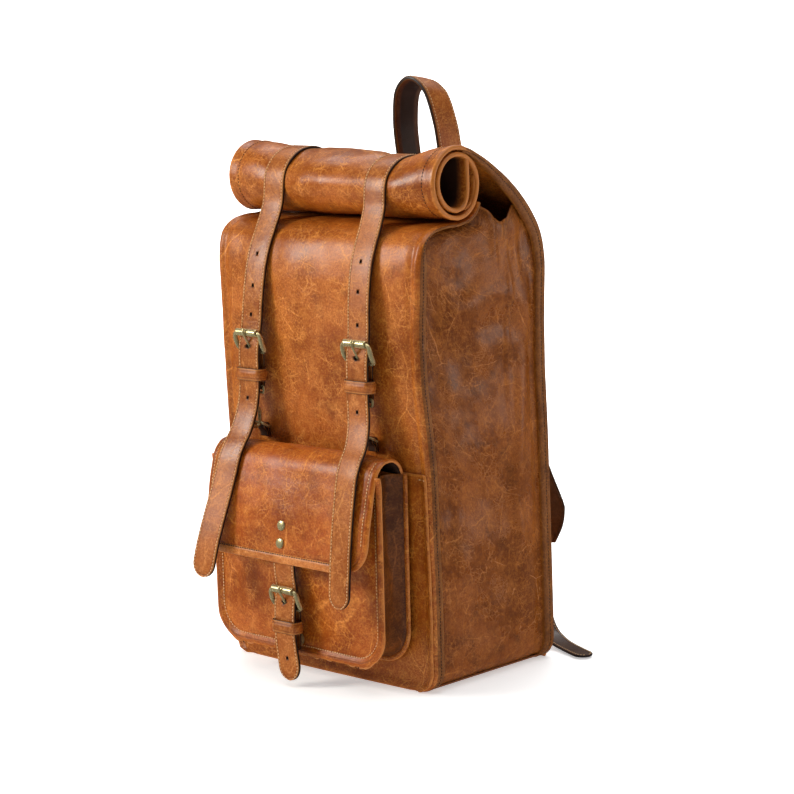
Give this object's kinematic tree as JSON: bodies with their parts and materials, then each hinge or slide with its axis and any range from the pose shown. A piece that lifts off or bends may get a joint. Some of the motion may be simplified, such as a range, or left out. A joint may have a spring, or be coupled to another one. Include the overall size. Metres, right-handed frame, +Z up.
{
  "type": "backpack",
  "caption": "Roll-top leather backpack with buckled straps over the roll, a flap front pocket, a carry handle and two shoulder straps.",
  "frame": {"origin": "centre of the flat base, which stands on the ground", "axes": "+Z up along the bag's height, -Y towards the front pocket, +Y towards the wearer's back, +X to the right seen from the front"},
  "size_m": [0.3678, 0.3338, 0.61],
  "materials": {
    "bag_leather": "waxed pull-up cow hide, satin",
    "strap_leather": "two stitched layers with dark painted edges",
    "antique_brass": "antiqued, worn bright on the edges",
    "lining_cloth": "plain dark woven cloth"
  },
  "bodies": {
    "bag": {"front_panel": "bag_leather", "back_panel": "bag_leather", "left_gusset": "bag_leather", "right_gusset": "bag_leather", "bottom_panel": "bag_leather", "left_back_binding": "bag_leather", "right_back_binding": "bag_leather", "slip_pocket_panel": "bag_leather", "roll_top": "bag_leather", "pocket_gusset": "bag_leather", "pocket_base_piping": "bag_leather", "pocket_front": "bag_leather", "flap_seam": "bag_leather", "yoke_patch": "bag_leather", "left_strap": "strap_leather", "left_chape": "strap_leather", "left_keeper": "strap_leather", "left_ring_tab": "strap_leather", "left_anchor_tab": "strap_leather", "right_strap": "strap_leather", "right_chape": "strap_leather", "right_keeper": "strap_leather", "right_ring_tab": "strap_leather", "right_anchor_tab": "strap_leather", "snap_socket": "antique_brass", "left_buckle_frame": "antique_brass", "left_hook_swivel": "antique_brass", "right_buckle_frame": "antique_brass", "right_hook_swivel": "antique_brass", "lining": "lining_cloth"},
    "pocket_flap": {"pocket_flap": "bag_leather", "flap_binding": "bag_leather", "flap_rivet_upper": "antique_brass", "flap_rivet_lower": "antique_brass", "pocket_strap": "strap_leather", "pocket_buckle_frame": "antique_brass", "pocket_chape": "strap_leather", "pocket_keeper": "strap_leather", "snap_stud": "antique_brass"},
    "pocket_roller": {"pocket_buckle_roller": "antique_brass"},
    "pocket_prong": {"pocket_buckle_prong": "antique_brass"},
    "handle": {"handle": "strap_leather"},
    "left_tail": {"left_strap_tail": "strap_leather"},
    "left_roller": {"left_buckle_roller": "antique_brass"},
    "left_prong": {"left_buckle_prong": "antique_brass"},
    "left_hook": {"left_hook_body": "antique_brass"},
    "left_gate": {"left_hook_gate": "antique_brass"},
    "left_ring": {"left_ring": "antique_brass"},
    "left_shoulder": {"left_shoulder_strap": "strap_leather", "left_shoulder_buckle": "antique_brass", "left_lower_strap": "strap_leather"},
    "right_tail": {"right_strap_tail": "strap_leather"},
    "right_roller": {"right_buckle_roller": "antique_brass"},
    "right_prong": {"right_buckle_prong": "antique_brass"},
    "right_hook": {"right_hook_body": "antique_brass"},
    "right_gate": {"right_hook_gate": "antique_brass"},
    "right_ring": {"right_ring": "antique_brass"},
    "right_shoulder": {"right_shoulder_strap": "strap_leather", "right_shoulder_buckle": "antique_brass", "right_lower_strap": "strap_leather"}
  },
  "joints": [
    {"name": "flap_lift", "type": "hinge", "parent": "bag", "child": "pocket_flap", "pos_m": [0, -0.125, 0.2395], "axis": [-1, 0, 0], "range_deg": [0, 90]},
    {"name": "pocket_roller_spin", "type": "hinge", "parent": "pocket_flap", "child": "pocket_roller", "pos_m": [0, -0.15624, 0.1], "axis": [1, 0, 0], "continuous": true},
    {"name": "pocket_prong_swing", "type": "hinge", "parent": "pocket_flap", "child": "pocket_prong", "pos_m": [0, -0.148, 0.0796], "axis": [1, 0, 0], "range_deg": [0, 6]},
    {"name": "handle_swing", "type": "hinge", "parent": "bag", "child": "handle", "pos_m": [0, 0.094, 0.478], "axis": [-1, 0, 0], "range_deg": [0, 70]},
    {"name": "left_tail_lift", "type": "hinge", "parent": "bag", "child": "left_tail", "pos_m": [-0.078, -0.1194, 0.301], "axis": [-1, 0, 0], "range_deg": [0, 72]},
    {"name": "left_roller_spin", "type": "hinge", "parent": "bag", "child": "left_roller", "pos_m": [-0.078, -0.12124, 0.355], "axis": [1, 0, 0], "continuous": true},
    {"name": "left_prong_swing", "type": "hinge", "parent": "bag", "child": "left_prong", "pos_m": [-0.078, -0.113, 0.3346], "axis": [1, 0, 0], "range_deg": [0, 6]},
    {"name": "left_hook_swivel", "type": "hinge", "parent": "bag", "child": "left_hook", "pos_m": [-0.078, -0.113, 0.289], "axis": [0, 0, 1], "range_deg": [-12, 12]},
    {"name": "left_gate_press", "type": "hinge", "parent": "left_hook", "child": "left_gate", "pos_m": [-0.078, -0.1191, 0.265], "axis": [-1, 0, 0], "range_deg": [0, 20], "stiffness_Nm_per_rad": 0.02},
    {"name": "left_ring_tilt", "type": "hinge", "parent": "bag", "child": "left_ring", "pos_m": [-0.078, -0.1022, 0.2546], "axis": [1, 0, 0], "range_deg": [-4, 4]},
    {"name": "left_shoulder_swing", "type": "hinge", "parent": "bag", "child": "left_shoulder", "pos_m": [-0.0952, 0.1045, 0.031], "axis": [0.114, -0.0164, 0.9934], "range_deg": [-20, 20]},
    {"name": "right_tail_lift", "type": "hinge", "parent": "bag", "child": "right_tail", "pos_m": [0.078, -0.1194, 0.301], "axis": [-1, 0, 0], "range_deg": [0, 72]},
    {"name": "right_roller_spin", "type": "hinge", "parent": "bag", "child": "right_roller", "pos_m": [0.078, -0.12124, 0.355], "axis": [1, 0, 0], "continuous": true},
    {"name": "right_prong_swing", "type": "hinge", "parent": "bag", "child": "right_prong", "pos_m": [0.078, -0.113, 0.3346], "axis": [1, 0, 0], "range_deg": [0, 6]},
    {"name": "right_hook_swivel", "type": "hinge", "parent": "bag", "child": "right_hook", "pos_m": [0.078, -0.113, 0.289], "axis": [0, 0, 1], "range_deg": [-12, 12]},
    {"name": "right_gate_press", "type": "hinge", "parent": "right_hook", "child": "right_gate", "pos_m": [0.078, -0.1191, 0.265], "axis": [-1, 0, 0], "range_deg": [0, 20], "stiffness_Nm_per_rad": 0.02},
    {"name": "right_ring_tilt", "type": "hinge", "parent": "bag", "child": "right_ring", "pos_m": [0.078, -0.1022, 0.2546], "axis": [1, 0, 0], "range_deg": [-4, 4]},
    {"name": "right_shoulder_swing", "type": "hinge", "parent": "bag", "child": "right_shoulder", "pos_m": [0.0952, 0.1045, 0.031], "axis": [-0.114, -0.0164, 0.9934], "range_deg": [-20, 20]}
  ],
  "couplings": [
    {"joint": "left_tail_lift", "follows": "flap_lift", "ratio": 0.8},
    {"joint": "right_tail_lift", "follows": "flap_lift", "ratio": 0.8}
  ]
}
